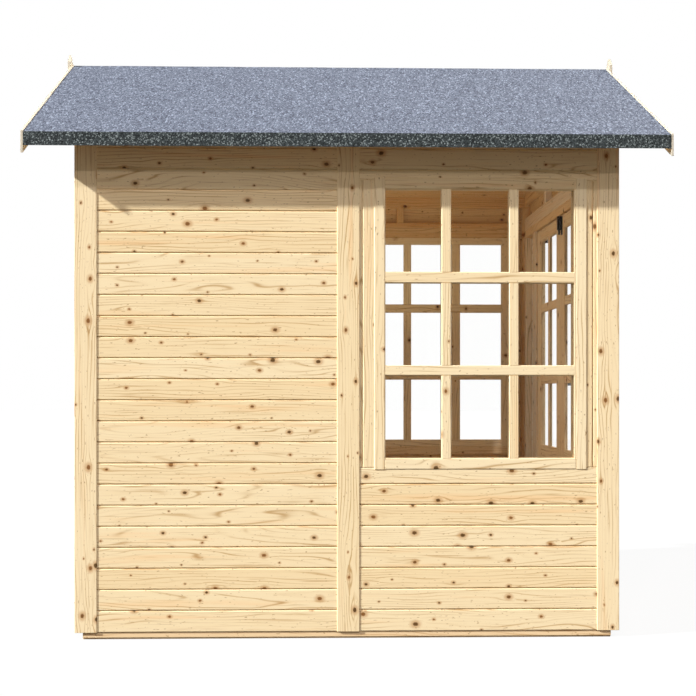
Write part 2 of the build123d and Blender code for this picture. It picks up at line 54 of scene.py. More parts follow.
class Shade:
    """A material and short calls for its nodes."""

    def __init__(self, name):
        self.material = bpy.data.materials.new(name)
        self.material.use_nodes = True
        self.tree = self.material.node_tree
        self.tree.nodes.clear()

    def add(self, kind, **settings):
        made = self.tree.nodes.new(kind)
        for key, value in settings.items():
            setattr(made, key, value)
        return made

    def put(self, socket, value):
        if isinstance(value, bpy.types.NodeSocket):
            self.tree.links.new(value, socket)
        else:
            socket.default_value = value

    def math(self, operation, a, b=0.0, c=0.0):
        made = self.add("ShaderNodeMath", operation=operation)
        for socket, value in zip(made.inputs, (a, b, c)):
            self.put(socket, value)
        return made.outputs[0]

    def squares(self, a, b):
        """The sum of two squares."""
        parts = [self.math("POWER", self.math("ABSOLUTE", value), 2.0) for value in (a, b)]
        return self.math("ADD", *parts)

    def step(self, value, low, high, to_low=0.0, to_high=1.0):
        made = self.add("ShaderNodeMapRange", interpolation_type="SMOOTHSTEP")
        for key, given in zip(
            ("Value", "From Min", "From Max", "To Min", "To Max"),
            (value, low, high, to_low, to_high),
        ):
            self.put(made.inputs[key], given)
        return made.outputs["Result"]

    def mix(self, share, a, b, blend="MIX"):
        made = self.add("ShaderNodeMix", data_type="RGBA", blend_type=blend)
        self.put(made.inputs[0], share)
        self.put(made.inputs[6], a)
        self.put(made.inputs[7], b)
        return made.outputs[2]

    def stretch(self, vector, scale):
        made = self.add("ShaderNodeVectorMath", operation="MULTIPLY")
        self.put(made.inputs[0], vector)
        made.inputs[1].default_value = scale
        return made.outputs[0]

    def join(self, x, y, z=0.0):
        made = self.add("ShaderNodeCombineXYZ")
        for socket, value in zip(made.inputs, (x, y, z)):
            self.put(socket, value)
        return made.outputs[0]

    def split(self, vector):
        made = self.add("ShaderNodeSeparateXYZ")
        self.put(made.inputs[0], vector)
        return made.outputs

    def noise(self, vector, detail=2.0, roughness=0.5, scale=1.0):
        made = self.add("ShaderNodeTexNoise", noise_dimensions="3D")
        self.put(made.inputs["Vector"], vector)
        self.put(made.inputs["Scale"], scale)
        self.put(made.inputs["Detail"], detail)
        self.put(made.inputs["Roughness"], roughness)
        return made.outputs[0]

    def attribute(self, name, output):
        return self.add("ShaderNodeAttribute", attribute_name=name).outputs[output]

    def place(self):
        return self.add("ShaderNodeTexCoord").outputs["Object"]

    def principled(self, **inputs):
        made = self.add("ShaderNodeBsdfPrincipled")
        for key, value in inputs.items():
            label = key.replace("_", " ").title().replace("Ior", "IOR")
            self.put(made.inputs[label], value)
        return made

    def bump(self, height, strength, distance):
        made = self.add("ShaderNodeBump")
        self.put(made.inputs["Height"], height)
        made.inputs["Strength"].default_value = strength
        made.inputs["Distance"].default_value = distance
        return made.outputs[0]

    def finish(self, shader):
        out = self.add("ShaderNodeOutputMaterial")
        self.tree.links.new(shader, out.inputs["Surface"])
        return self.material


KNOT_LONG = 0.19  # metres of board to a knot
KNOT_WIDE = 0.084
KNOT_LEAST = 0.0028  # radius of the smallest
KNOT_SPREAD = 0.0064
KNOT_POWER = 1.6  # small ones are more common
KNOT_OVAL = 1.35  # length to width
BEND_LONG = 0.045  # how far round a knot the grain parts
BEND_WIDE = 0.024
RING = 0.0125  # between two grain lines
LINE_POWER = 11.0  # how thin the lines are
FIBRE_TINT = (0.80, 0.66, 0.47, 1)
BLUSH_TINT = (1.0, 0.89, 0.80, 1)
STREAK_TINT = (0.58, 0.44, 0.29, 1)
FLECK_COLOUR = (0.40, 0.23, 0.10, 1)
HALO_COLOUR = (0.55, 0.29, 0.115, 1)
HEART_COLOURS = ((0.078, 0.033, 0.004, 1), (0.215, 0.082, 0.016, 1))


def pine(name, pale, warm, line_share=0.85, knots=0.10, marks=1.0, loops=True):
    """Planed softwood. Each plank brings its grain coordinates (along, across, through) and tone.

    line_share: strength of the grain lines; knots: share of the cells without a knot;
    marks: strength of the small marks; loops: whether some boards are sawn flat.
    """
    s = Shade(name)
    along, across_face, through = s.split(s.attribute("grain", "Vector"))
    tone = s.attribute("tone", "Fac")
    across = s.math("MULTIPLY_ADD", through, 0.6, across_face)

    # one knot to a cell, of a random size, or none
    cell = s.add("ShaderNodeTexVoronoi", voronoi_dimensions="2D", feature="F1")
    s.put(
        cell.inputs["Vector"],
        s.join(s.math("DIVIDE", along, KNOT_LONG), s.math("DIVIDE", across, KNOT_WIDE)),
    )
    cell.inputs["Scale"].default_value = 1.0
    cell.inputs["Randomness"].default_value = 0.95
    size, kind, shown = s.split(cell.outputs["Color"])
    knot_x, knot_y, _ = s.split(cell.outputs["Position"])
    off_x = s.math("SUBTRACT", along, s.math("MULTIPLY", knot_x, KNOT_LONG))
    off_y = s.math("SUBTRACT", across, s.math("MULTIPLY", knot_y, KNOT_WIDE))
    rough_edge = s.noise(s.stretch(s.join(along, across, tone), (170, 230, 1)), 1.0)
    radius = s.math("MULTIPLY_ADD", s.math("POWER", size, KNOT_POWER), KNOT_SPREAD, KNOT_LEAST)
    radius = s.math("MULTIPLY", radius, s.math("GREATER_THAN", shown, knots))
    reach = s.math("SQRT", s.squares(s.math("DIVIDE", off_x, KNOT_OVAL), off_y))
    reach = s.math("MULTIPLY_ADD", s.math("SUBTRACT", rough_edge, 0.5), 0.004, reach)
    core = s.step(reach, s.math("MULTIPLY", radius, 1.05), s.math("MULTIPLY", radius, 0.55))
    halo = s.step(reach, s.math("MULTIPLY", radius, 2.6), s.math("MULTIPLY", radius, 0.8))

    # grain lines part round a knot
    far = s.squares(s.math("DIVIDE", off_x, BEND_LONG), s.math("DIVIDE", off_y, BEND_WIDE))
    near = s.math("EXPONENT", s.math("MULTIPLY", far, -1.0))
    push = s.math("TANH", s.math("DIVIDE", off_y, 0.006))
    push = s.math("MULTIPLY", s.math("MULTIPLY", push, near), s.math("MULTIPLY", radius, 1.5))
    bent = s.math("SUBTRACT", across, push)

    flat = s.join(along, across, s.math("MULTIPLY", tone, 9.0))

    def streaks(to_length, to_width, detail=2.0, roughness=0.5):
        return s.noise(s.stretch(flat, (to_length, to_width, 1.0)), detail, roughness)

    sweep = streaks(1.1, 9.0, 1.0)
    wander = streaks(4.5, 34.0, 1.0)
    straight = s.step(tone, 0.35, 0.6) if loops else 1.0  # boards sawn flat show loops
    rings = s.math("DIVIDE", bent, RING)
    rings = s.math("MULTIPLY", rings, s.math("MULTIPLY_ADD", straight, 0.5, 0.5))
    rings = s.math("MULTIPLY_ADD", sweep, s.math("MULTIPLY_ADD", straight, -6.0, 13.0), rings)
    rings = s.math("MULTIPLY_ADD", wander, 0.9, rings)
    wave = s.math("MULTIPLY_ADD", s.math("SINE", s.math("MULTIPLY", rings, math.tau)), 0.5, 0.5)
    line = s.math("POWER", wave, LINE_POWER)
    soft = s.math("POWER", wave, 1.5)
    come_and_go = s.step(streaks(2.6, 30.0), 0.40, 0.66)
    line = s.math("MULTIPLY", line, s.math("MULTIPLY_ADD", come_and_go, 0.92, 0.08))
    fibre = streaks(11.0, 520.0, 2.0, 0.6)
    dash = s.step(streaks(4.2, 210.0, 2.0, 0.55), 0.60, 0.74)
    fleck = s.step(streaks(58.0, 190.0, 1.0), 0.68, 0.76)
    blush = s.step(streaks(1.2, 30.0), 0.56, 0.74)
    cloud = streaks(1.3, 9.0)

    warmth = s.math("MULTIPLY_ADD", cloud, 0.5, s.math("MULTIPLY", tone, 0.75))
    base = s.mix(s.step(warmth, 0.15, 1.1), pale, warm)
    shade = s.math("MULTIPLY", s.math("SUBTRACT", fibre, 0.5), 0.29 * marks)
    shade = s.math("MULTIPLY_ADD", soft, 0.07, shade)
    base = s.mix(s.math("ADD", shade, 0.09), base, FIBRE_TINT, "MULTIPLY")
    base = s.mix(s.math("MULTIPLY", blush, 0.85 * marks), base, BLUSH_TINT, "MULTIPLY")
    streak = s.mix(1.0, base, STREAK_TINT, "MULTIPLY")
    base = s.mix(s.math("MULTIPLY", line, line_share), base, streak)
    base = s.mix(s.math("MULTIPLY", dash, 0.68 * marks), base, streak)
    base = s.mix(s.math("MULTIPLY", fleck, 0.72 * marks), base, FLECK_COLOUR)
    base = s.mix(s.math("MULTIPLY", halo, 0.68), base, HALO_COLOUR)
    heart = s.mix(s.step(kind, 0.25, 0.85), *HEART_COLOURS)
    base = s.mix(s.math("MULTIPLY", core, 0.93), base, heart)

    relief = s.math("MULTIPLY_ADD", line, -0.5, s.math("MULTIPLY", fibre, 0.55))
    relief = s.math("MULTIPLY_ADD", core, 0.5, relief)
    shader = s.principled(
        base_color=base,
        roughness=s.math("MULTIPLY_ADD", fibre, 0.18, 0.52),
        specular_ior_level=0.14,
        normal=s.bump(relief, 0.35 * marks, 0.0007),
    )
    return s.finish(shader.outputs[0])


GRAINS = 260.0  # to the metre


def felt(name, dull, pale, glint, clump, drawn=1.0, height=0.0016):
    """Roofing felt faced with crushed mineral: single grains, and clumps that catch the light.

    clump: clumps to the metre; drawn: how far they are drawn out across the ridge.
    """
    s = Shade(name)
    place = s.place()
    laid = s.stretch(place, (1.0, 1 / drawn, 1 / drawn))

    def grains(vector, scale):
        cell = s.add("ShaderNodeTexVoronoi", voronoi_dimensions="3D", feature="F1")
        s.put(cell.inputs["Vector"], vector)
        cell.inputs["Scale"].default_value = scale
        return cell.outputs["Distance"], *s.split(cell.outputs["Color"])[:2]

    _, pick, other = grains(place, GRAINS)
    far, tuft, bright = grains(laid, clump)
    patch = s.noise(place, 2.0, 0.5, 5.0)
    shade = s.math("MULTIPLY_ADD", pick, 0.4, s.math("MULTIPLY", tuft, 0.6))
    shade = s.math("MULTIPLY_ADD", s.math("SUBTRACT", patch, 0.5), 0.12, shade)
    colour = s.mix(s.step(shade, 0.1, 0.92), dull, pale)
    colour = s.mix(s.step(other, 0.92, 0.97), colour, glint)
    colour = s.mix(s.math("MULTIPLY", s.step(bright, 0.86, 0.94), 0.75), colour, glint)
    relief = s.math("MULTIPLY_ADD", pick, 0.3, s.math("SUBTRACT", 1.0, far))
    shader = s.principled(
        base_color=colour,
        roughness=s.math("MULTIPLY_ADD", pick, 0.2, 0.74),
        specular_ior_level=0.25,
        normal=s.bump(relief, 0.5, height),
    )
    return s.finish(shader.outputs[0])


IRON_COLOURS = ((0.006, 0.006, 0.006, 1), (0.016, 0.016, 0.016, 1))
WORN_COLOUR = (0.04, 0.036, 0.032, 1)


def iron(name):
    """Black-painted ironwork, a little worn."""
    s = Shade(name)
    place = s.place()
    mottled = s.noise(place, 3.0, 0.6, 160.0)
    worn = s.noise(place, 4.0, 0.6, 38.0)
    colour = s.mix(s.step(mottled, 0.3, 0.75), *IRON_COLOURS)
    colour = s.mix(s.step(worn, 0.66, 0.8), colour, WORN_COLOUR)
    shader = s.principled(
        base_color=colour,
        roughness=s.math("MULTIPLY_ADD", mottled, 0.3, 0.38),
        specular_ior_level=0.35,
        normal=s.bump(mottled, 0.25, 0.0008),
    )
    return s.finish(shader.outputs[0])


def glass(name):
    """Clear window glass: light goes straight through, and a little is mirrored."""
    s = Shade(name)
    ripple = s.noise(s.place(), 1.0, 0.5, 9.0)
    clear = s.add("ShaderNodeBsdfTransparent")
    clear.inputs[0].default_value = (0.998, 0.999, 0.998, 1)
    shine = s.add("ShaderNodeBsdfGlossy")
    shine.inputs["Color"].default_value = (1, 1, 1, 1)
    shine.inputs["Roughness"].default_value = 0.02
    s.put(shine.inputs["Normal"], s.bump(ripple, 0.12, 0.001))
    facing = s.add("ShaderNodeLayerWeight")
    facing.inputs["Blend"].default_value = 0.5
    mirrored = s.math("POWER", facing.outputs["Facing"], 5.0)
    mirrored = s.math("MULTIPLY_ADD", mirrored, 0.12, 0.005)
    both = s.add("ShaderNodeMixShader")
    s.put(both.inputs[0], mirrored)
    s.put(both.inputs[1], clear.outputs[0])
    s.put(both.inputs[2], shine.outputs[0])
    return s.finish(both.outputs[0])


WALL_PALE = (0.930, 0.752, 0.478, 1)
WALL_WARM = (0.895, 0.690, 0.405, 1)
CLADDING = pine("pine_cladding", WALL_PALE, WALL_WARM)
COVER = pine("pine_cover", WALL_PALE, WALL_WARM, 1.0, loops=False)
TRIM = pine("pine_trim", (0.955, 0.790, 0.525, 1), (0.920, 0.730, 0.455, 1), 1.0, loops=False)
# Bargeboards and finials: pine painted paler, with few knots and faint marks, as a painted
# highlight for the bright light that washes them out
BARGE_PAINTED_HIGHLIGHT = pine(
    "pine_barge_painted_highlight",
    (0.990, 0.905, 0.740, 1),
    (0.970, 0.865, 0.680, 1),
    0.25,
    knots=0.96,
    marks=0.2,
)
JOINERY = pine(
    "pine_joinery",
    (0.940, 0.770, 0.500, 1),
    (0.910, 0.715, 0.435, 1),
    knots=0.5,
    loops=False,
)
BEARER = pine("pine_bearer", (0.905, 0.685, 0.425, 1), (0.865, 0.620, 0.360, 1))
FRAMING = pine("pine_framing", (0.880, 0.655, 0.365, 1), (0.835, 0.580, 0.290, 1), knots=0.5)
ROOF_BOARD = pine("roof_boards", (0.880, 0.660, 0.375, 1), (0.835, 0.590, 0.300, 1))
FLOOR_BOARD = pine("floor_boards", (0.870, 0.660, 0.380, 1), (0.820, 0.590, 0.310, 1))
FELT = felt(
    "mineral_felt",
    (0.030, 0.036, 0.058, 1),
    (0.152, 0.170, 0.222, 1),
    (0.29, 0.325, 0.40, 1),
    clump=190.0,
    drawn=2.4,
)
FELT_EDGE = felt(
    "felt_selvage",
    (0.004, 0.006, 0.006, 1),
    (0.057, 0.067, 0.068, 1),
    (0.26, 0.29, 0.285, 1),
    clump=230.0,
    height=0.003,
)
IRON = iron("black_iron")
GLASS = glass("clear_glass")

# ---------------------------------------------------------------- timber

EASE = 0.0015  # rounding of an edge
FRAMING_EASE = 0.002
TRIM_EASE = 0.0012
GRAIN_SHIFT = 40  # metres of grain to start a plank in
WELD = 2e-5
FLAT_ANGLE = math.radians(2)
SHARP_ANGLE = math.radians(40)


class Timber:
    """Collects planks into one piece, each with its own grain coordinates and tone."""

    def __init__(self, name, seed):
        self.name = name
        self.draw = random.Random(seed)
        self.bm = bmesh.new()
        self.grain = self.bm.verts.layers.float_vector.new("grain")
        self.tone = self.bm.verts.layers.float.new("tone")

    def mark(self, verts, along, across, through):
        """Sets the grain coordinates of one plank's corners, from its own random start."""
        shift = Vector([self.draw.uniform(0, GRAIN_SHIFT) for _ in range(3)])
        tone = self.draw.random()
        for vert in verts:
            local = Vector((vert.co.dot(along), vert.co.dot(across), vert.co.dot(through)))
            vert[self.grain] = local + shift
            vert[self.tone] = tone

    def plank(self, section, ends, origin, along, across, through):
        """Extrudes a section of (across, through) pairs between ends.

        ends is (start, stop), or a function that gives them for a place across.
        """
        rings = []
        for pick in (0, 1):
            ring = []
            for a, t in section:
                reach = ends(a)[pick] if callable(ends) else ends[pick]
                ring.append(self.bm.verts.new(origin + along * reach + across * a + through * t))
            rings.append(ring)
        first, last = rings
        count = len(section)
        faces = [self.bm.faces.new(first), self.bm.faces.new(list(reversed(last)))]
        for i in range(count):
            j = (i + 1) % count
            faces.append(self.bm.faces.new((first[i], last[i], last[j], first[j])))
        bmesh.ops.recalc_face_normals(self.bm, faces=faces)
        self.mark(first + last, along, across, through)

    def bar(self, low, high, along, ease):
        """A squared length of timber between two corners, with eased edges along the grain."""
        low = Vector(low)
        high = Vector(high)
        size = high - low
        axes = [X, Y, Z]
        axes.remove(along)
        across, through = axes
        a = size.dot(across)
        t = size.dot(through)
        e = ease
        section = [
            (e, 0), (a - e, 0), (a, e), (a, t - e), (a - e, t), (e, t), (0, t - e), (0, e),
        ]
        self.plank(section, (0, size.dot(along)), low, along, across, through)

    def solids(self, node, ease, keep):
        """Copies a CAD node's solids, or those whose middle keep() takes, one by one."""
        source = bmesh.new()
        source.from_mesh(nodes[node].data)
        bmesh.ops.remove_doubles(source, verts=source.verts[:], dist=WELD)
        bmesh.ops.dissolve_limit(
            source, angle_limit=FLAT_ANGLE, verts=source.verts[:], edges=source.edges[:]
        )
        source.verts.index_update()
        source.faces.index_update()
        done = set()
        for first in source.verts:
            if first in done:
                continue
            group = {first}
            waiting = [first]
            while waiting:
                vert = waiting.pop()
                for edge in vert.link_edges:
                    other = edge.other_vert(vert)
                    if other not in group:
                        group.add(other)
                        waiting.append(other)
            done |= group
            ordered = sorted(group, key=lambda v: v.index)
            if keep is None or keep(sum((v.co for v in ordered), Vector()) / len(ordered)):
                self.solid(ordered, ease)
        source.free()

    def solid(self, group, ease):
        """Copies one solid, with eased edges and the grain along its longest edge."""
        one = bmesh.new()
        made = {}
        for vert in group:
            made[vert] = one.verts.new(vert.co)
        for face in sorted({f for v in group for f in v.link_faces}, key=lambda f: f.index):
            one.faces.new([made[v] for v in face.verts])
        longest = max(one.edges, key=lambda e: e.calc_length())
        along = (longest.verts[1].co - longest.verts[0].co).normalized()
        axes = sorted((X, Y, Z), key=lambda axis: abs(axis.dot(along)))[:2]
        spread = [
            max(v.co.dot(axis) for v in one.verts) - min(v.co.dot(axis) for v in one.verts)
            for axis in axes
        ]
        across = axes[0] if spread[0] >= spread[1] else axes[1]
        across = (across - along * across.dot(along)).normalized()
        through = along.cross(across)
        bmesh.ops.recalc_face_normals(one, faces=one.faces[:])
        sharp = [
            e for e in one.edges
            if len(e.link_faces) == 2 and e.calc_face_angle() > SHARP_ANGLE
        ]
        bmesh.ops.bevel(
            one,
            geom=sharp,
            offset=ease,
            segments=2,
            profile=0.5,
            affect="EDGES",
            clamp_overlap=True,
        )
        copies = {v: self.bm.verts.new(v.co) for v in one.verts}
        for face in one.faces:
            self.bm.faces.new([copies[v] for v in face.verts])
        self.mark(list(copies.values()), along, across, through)
        one.free()

    def finish(self, material, slot, body="root", replaces=()):
        mesh = bpy.data.meshes.new(self.name)
        self.bm.to_mesh(mesh)
        self.bm.free()
        return show(mesh, self.name, material, body, replaces)


def show(mesh, name, material, body="root", replaces=()):
    mesh.materials.append(material)
    piece = bpy.data.objects.new(name, mesh)
    bpy.context.scene.collection.objects.link(piece)
    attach(piece, body)
    if replaces:
        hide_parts(*replaces)
    return piece


def lined(name, seed, node, material, slot, body="root", ease=EASE, keep=None):
    """A CAD node's timbers with eased edges and grain."""
    timber = Timber(name, seed)
    timber.solids(node, ease, keep)
    return timber.finish(material, slot, body, (node,))


def even(start, stop, count):
    """The ends of count equal steps from start to stop."""
    return [start + (stop - start) * i / count for i in range(count + 1)]


VEE = 0.0039  # of the joints that show
BACK_EASE = 0.0022  # and of those on the inside
JOINT = 0.0012
TONGUE = 0.004
GROOVE = 0.006
TONGUE_SHARES = (0.3, 0.6)  # of the board's thickness
SLACK = 0.0004


def tongued(width, thick, tongue, groove):
    """Section of a matchboard: V-jointed face, tongue above, groove below."""
    t0 = thick * TONGUE_SHARES[0]
    t1 = thick * TONGUE_SHARES[1]
    top = width - JOINT
    b = BACK_EASE
    section = [(b, 0), (top - b, 0), (top, b)]
    if tongue:
        section += [(top, t0), (width + TONGUE, t0), (width + TONGUE, t1), (top, t1)]
    section += [(top, thick - VEE), (top - VEE, thick), (VEE, thick), (0, thick - VEE)]
    if groove:
        section += [(0, t1 + SLACK), (GROOVE, t1 + SLACK), (GROOVE, t0 - SLACK), (0, t0 - SLACK)]
    section += [(0, b)]
    return section


def boarded(timber, edges, ends, origin, along, across, through, thick):
    """A run of matchboards between the given edges."""
    last = len(edges) - 2
    for index in range(len(edges) - 1):
        low = edges[index]
        section = tongued(edges[index + 1] - low, thick, index < last, index > 0)
        foot = origin + across * low
        reach = (lambda a, low=low: ends(a + low)) if callable(ends) else ends
        timber.plank(section, reach, foot, along, across, through)


PROUD = 0.003  # of the cladding's CAD face: the trims stand only this much less off it
BOARD_START = 0.1127
BOARD_PITCH = 0.0824
BOARD_LINES = 32
LEAST_BOARD = 0.012


def courses(low, high):
    """Board edges from low to high, on the joint lines that the whole building shares."""
    lines = [BOARD_START + BOARD_PITCH * k for k in range(BOARD_LINES)]
    inside = [z for z in lines if low + LEAST_BOARD < z < high - LEAST_BOARD]
    return [low, *inside, high]


felt_low, felt_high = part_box("roof_felt")
RIDGE_TOP = felt_high.z
HALF_SPAN = felt_high.y
ROOF_RISE = 0.524
ROOF_SLOPE = ROOF_RISE / HALF_SPAN
PITCH_COS = 1 / math.sqrt(1 + ROOF_SLOPE**2)
PITCH_SIN = ROOF_SLOPE * PITCH_COS

# ---------------------------------------------------------------- floor and framing

LIP_IN = 0.006  # the lip along a bearer's foot, in and out of its face
LIP_OUT = 0.005
LIP_FOOT = 0.006
LIP_TOP = 0.027
DECK_BOARDS = 19

lined("bearers", 11, "floor_joists", BEARER, "pine_framing")
low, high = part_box("floor_joists")
lips = Timber("bearer_lips", 13)
for side in (-1, 1):
    y0, y1 = sorted((side * (high.y - LIP_IN), side * (high.y + LIP_OUT)))
    lips.bar((low.x, y0, LIP_FOOT), (high.x, y1, LIP_TOP), X, EASE)
lips.finish(BEARER, "pine_framing")

low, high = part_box("floor_deck")
deck = Timber("floor_boarding", 12)
edges = even(0, high.x - low.x, DECK_BOARDS)
start = Vector((low.x, 0, low.z))
boarded(deck, edges, (low.y, high.y), start, Y, X, Z, high.z - low.z)
deck.finish(FLOOR_BOARD, "floor_boards", replaces=("floor_deck",))

HEAD_BOARDS = 3  # over each window
HEAD_HEIGHT = 0.080
HEAD_THICK = 0.032
HEAD_GAP = 0.0002
HEAD_EASE = 0.0024
trim_low, trim_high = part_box("window_trimmers")
head_foot = trim_high.z - HEAD_HEIGHT


def sill_trimmer(middle):
    return middle.z < head_foot


for index, node in enumerate(
    (
        "side_sole_plates",
        "end_sole_plates",
        "side_wall_studs",
        "window_trimmers",
        "side_wall_plates",
        "end_wall_studs",
        "end_wall_plates",
        "door_head",
        "gable_rafters",
        "gable_noggins",
        "roof_timbers",
    )
):
    keep = sill_trimmer if node == "window_trimmers" else None
    lined(
        node + "_timber", 20 + index, node, FRAMING, "pine_framing", ease=FRAMING_EASE, keep=keep
    )

heads = Timber("window_head_boards", 33)
for side in (-1, 1):
    y0, y1 = sorted((side * trim_high.y, side * (trim_high.y - HEAD_THICK)))
    lift = (trim_high.z - head_foot) / HEAD_BOARDS
    for k in range(HEAD_BOARDS):
        z0 = head_foot + lift * k
        heads.bar(
            (trim_low.x, y0, z0 + HEAD_GAP),
            (trim_high.x, y1, z0 + lift - HEAD_GAP),
            X,
            HEAD_EASE,
        )
heads.finish(FRAMING, "pine_framing", replaces=("window_trimmers",))

# ---------------------------------------------------------------- cladding

for side, word in SIDES:
    for bay in ("rear", "window"):
        node = f"{word}_{bay}_cladding"
        low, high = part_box(node)
        inner = min(abs(low.y), abs(high.y))
        thick = max(abs(low.y), abs(high.y)) - inner + PROUD
        wall = Timber(f"{word}_{bay}_boards", 41 + 2 * side + (bay == "window"))
        start = Vector((0, side * inner, 0))
        if bay == "rear":
            runs = [(low.z, high.z)]
        else:
            hole_low, hole_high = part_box("window_jamb_boards")
            runs = [(low.z, hole_low.z), (hole_high.z, high.z)]
        for foot, head in runs:
            boarded(wall, courses(foot, head), (low.x, high.x), start, X, Z, Y * side, thick)
        wall.finish(CLADDING, "pine_cladding", replaces=(node,))

JAMB_JOINTS = (0.056, 0.967)  # each jamb is two boards wide
jamb_low, jamb_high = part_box("window_jamb_boards")
clad_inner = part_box("right_rear_cladding")[0].y
clad_thick = jamb_high.y - clad_inner + PROUD
hole = [corner.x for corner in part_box("window_trimmers")]
jambs = Timber("window_jambs", 47)
for side in (-1, 1):
    start = Vector((0, side * clad_inner, 0))
    for edges in ((jamb_low.x, JAMB_JOINTS[0], hole[0]), (hole[1], JAMB_JOINTS[1], jamb_high.x)):
        boarded(jambs, edges, (jamb_low.z, jamb_high.z), start, Z, X, Y * side, clad_thick)
jambs.finish(CLADDING, "pine_cladding", replaces=("window_jamb_boards",))

low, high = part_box("back_cladding")
back = Timber("back_boards", 51)
start = Vector((high.x, 0, 0))
thick = high.x - low.x + PROUD
boarded(back, courses(low.z, high.z), (low.y, high.y), start, Y, Z, -X, thick)
back.finish(CLADDING, "pine_cladding", replaces=("back_cladding",))

HALF_OPENING = 0.645  # of the doorway
low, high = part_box("front_cladding")
front = Timber("front_boards", 52)
start = Vector((low.x, 0, 0))
thick = high.x - low.x + PROUD
for ends in ((low.y, -HALF_OPENING), (HALF_OPENING, high.y)):
    boarded(front, courses(low.z, high.z), ends, start, Y, Z, X, thick)
front.finish(CLADDING, "pine_cladding", replaces=("front_cladding",))

GABLE_TIP = 0.006  # left off the top board's point
for node, outward, seed in (("back_gable", -X, 53), ("front_gable", X, 54)):
    low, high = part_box(node)
    gable = Timber(node + "_boards", seed)

    def gable_ends(z, apex=high.z, half=high.y):
        reach = max(0.0, min(half, (apex - z) / ROOF_SLOPE))
        return -reach, reach

    start = Vector((high.x if node == "back_gable" else low.x, 0, 0))
    edges = courses(low.z, high.z - GABLE_TIP)
    boarded(gable, edges, gable_ends, start, Y, Z, outward, high.x - low.x + PROUD)
    gable.finish(CLADDING, "pine_cladding", replaces=(node,))

# ---------------------------------------------------------------- trims

BACK_X = -1  # only the back strip lies behind this
for index, (node, wood) in enumerate(
    (
        ("side_corner_trims", TRIM),
        ("end_corner_trims", TRIM),
        ("finials", BARGE_PAINTED_HIGHLIGHT),
        ("bargeboards", BARGE_PAINTED_HIGHLIGHT),
    )
):
    lined(node + "_pine", 60 + index, node, wood, "pine_trim", ease=TRIM_EASE)
for index, (name, wood, keep) in enumerate(
    (
        ("side_cover_strips", COVER, lambda middle: middle.x > BACK_X),
        ("back_cover_strip", TRIM, lambda middle: middle.x < BACK_X),
    )
):
    lined(name, 65 + index, "cover_strips", wood, "pine_trim", ease=TRIM_EASE, keep=keep)
for index, node in enumerate(
    ("window_stiles", "window_rails", "door_casings", "door_casing_head", "door_sill")
):
    lined(node + "_pine", 70 + index, node, JOINERY, "pine_joinery", ease=TRIM_EASE)

# ---------------------------------------------------------------- window bars

GLASS_THICK = 0.004
BAR_SET_BACK = 0.0005  # from the face of the stiles
BAR_BACK = 0.019  # depth of a bar behind the glass
BAR_FRONT = 0.008  # depth of a bar's face piece, with the bead that holds the glass behind it
BAR_EASE = 0.003
BAR_BACK_EASE = 0.004
BEAD_EASE = 0.0005
BEAD_INSET = 0.0004
LINING = 0.0012  # of the frame round the glass
LINING_EASE = 0.0002
PLANTED = {-1: 0.0068, 1: LINING}  # and at its front stile
STOP_SHARE = 1.8  # of that, inside the glass
ACROSS = ((1.033, 1.073), (1.397, 1.441))
UPRIGHT = {
    -1: ((0.3665, 0.4052), (0.6338, 0.6722)),
    1: ((0.3650, 0.4050), (0.6263, 0.6707)),
}


def openings(low_z, high_z, across):
    """The heights between the bars that run across."""
    heights = [low_z, *[z for pair in across for z in pair], high_z]
    return list(zip(heights[0::2], heights[1::2]))


low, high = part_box("window_glass")
glass_face = high.y
glass_back = glass_face - GLASS_THICK
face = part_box("window_stiles")[1].y - BAR_SET_BACK
face_back = face - BAR_FRONT
bar_back = glass_back - BAR_BACK
lined_x = low.x + LINING
bars = Timber("window_bars", 81)
beads = Timber("window_beads", 82)
for side in (-1, 1):
    end_x = high.x - PLANTED[side]
    stop_x = high.x - PLANTED[side] * STOP_SHARE
    for timber, outer, inner, inset, ease, x_low, x_high in (
        (bars, face, face_back, 0.0, BAR_EASE, low.x, end_x),
        (beads, face_back, glass_face, BEAD_INSET, BEAD_EASE, lined_x, end_x),
        (beads, glass_back, bar_back, 0.0, BAR_BACK_EASE, lined_x, stop_x),
    ):
        y0, y1 = sorted((side * outer, side * inner))
        for z0, z1 in ACROSS:
            timber.bar((x_low, y0, z0 + inset), (x_high, y1, z1 - inset), X, ease)
        for x0, x1 in UPRIGHT[side]:
            for z0, z1 in openings(low.z, high.z, ACROSS):
                timber.bar((x0 + inset, y0, z0), (x1 - inset, y1, z1), Z, ease)
    for outer, inner, x_high in ((face_back, glass_face, end_x), (glass_back, bar_back, stop_x)):
        y0, y1 = sorted((side * outer, side * inner))
        for x0, x1 in ((low.x, lined_x), (x_high, high.x)):
            beads.bar((x0, y0, low.z), (x1, y1, high.z), Z, LINING_EASE)
        for z0, z1 in ((low.z, low.z + LINING), (high.z - LINING, high.z)):
            beads.bar((lined_x, y0, z0), (x_high, y1, z1), X, LINING_EASE)
    y0, y1 = sorted((side * face, side * face_back))
    bars.bar((end_x, y0, low.z), (high.x, y1, high.z), Z, LINING / 3)
bars.finish(JOINERY, "pine_joinery")
beads.finish(JOINERY, "pine_joinery")

# ---------------------------------------------------------------- doors

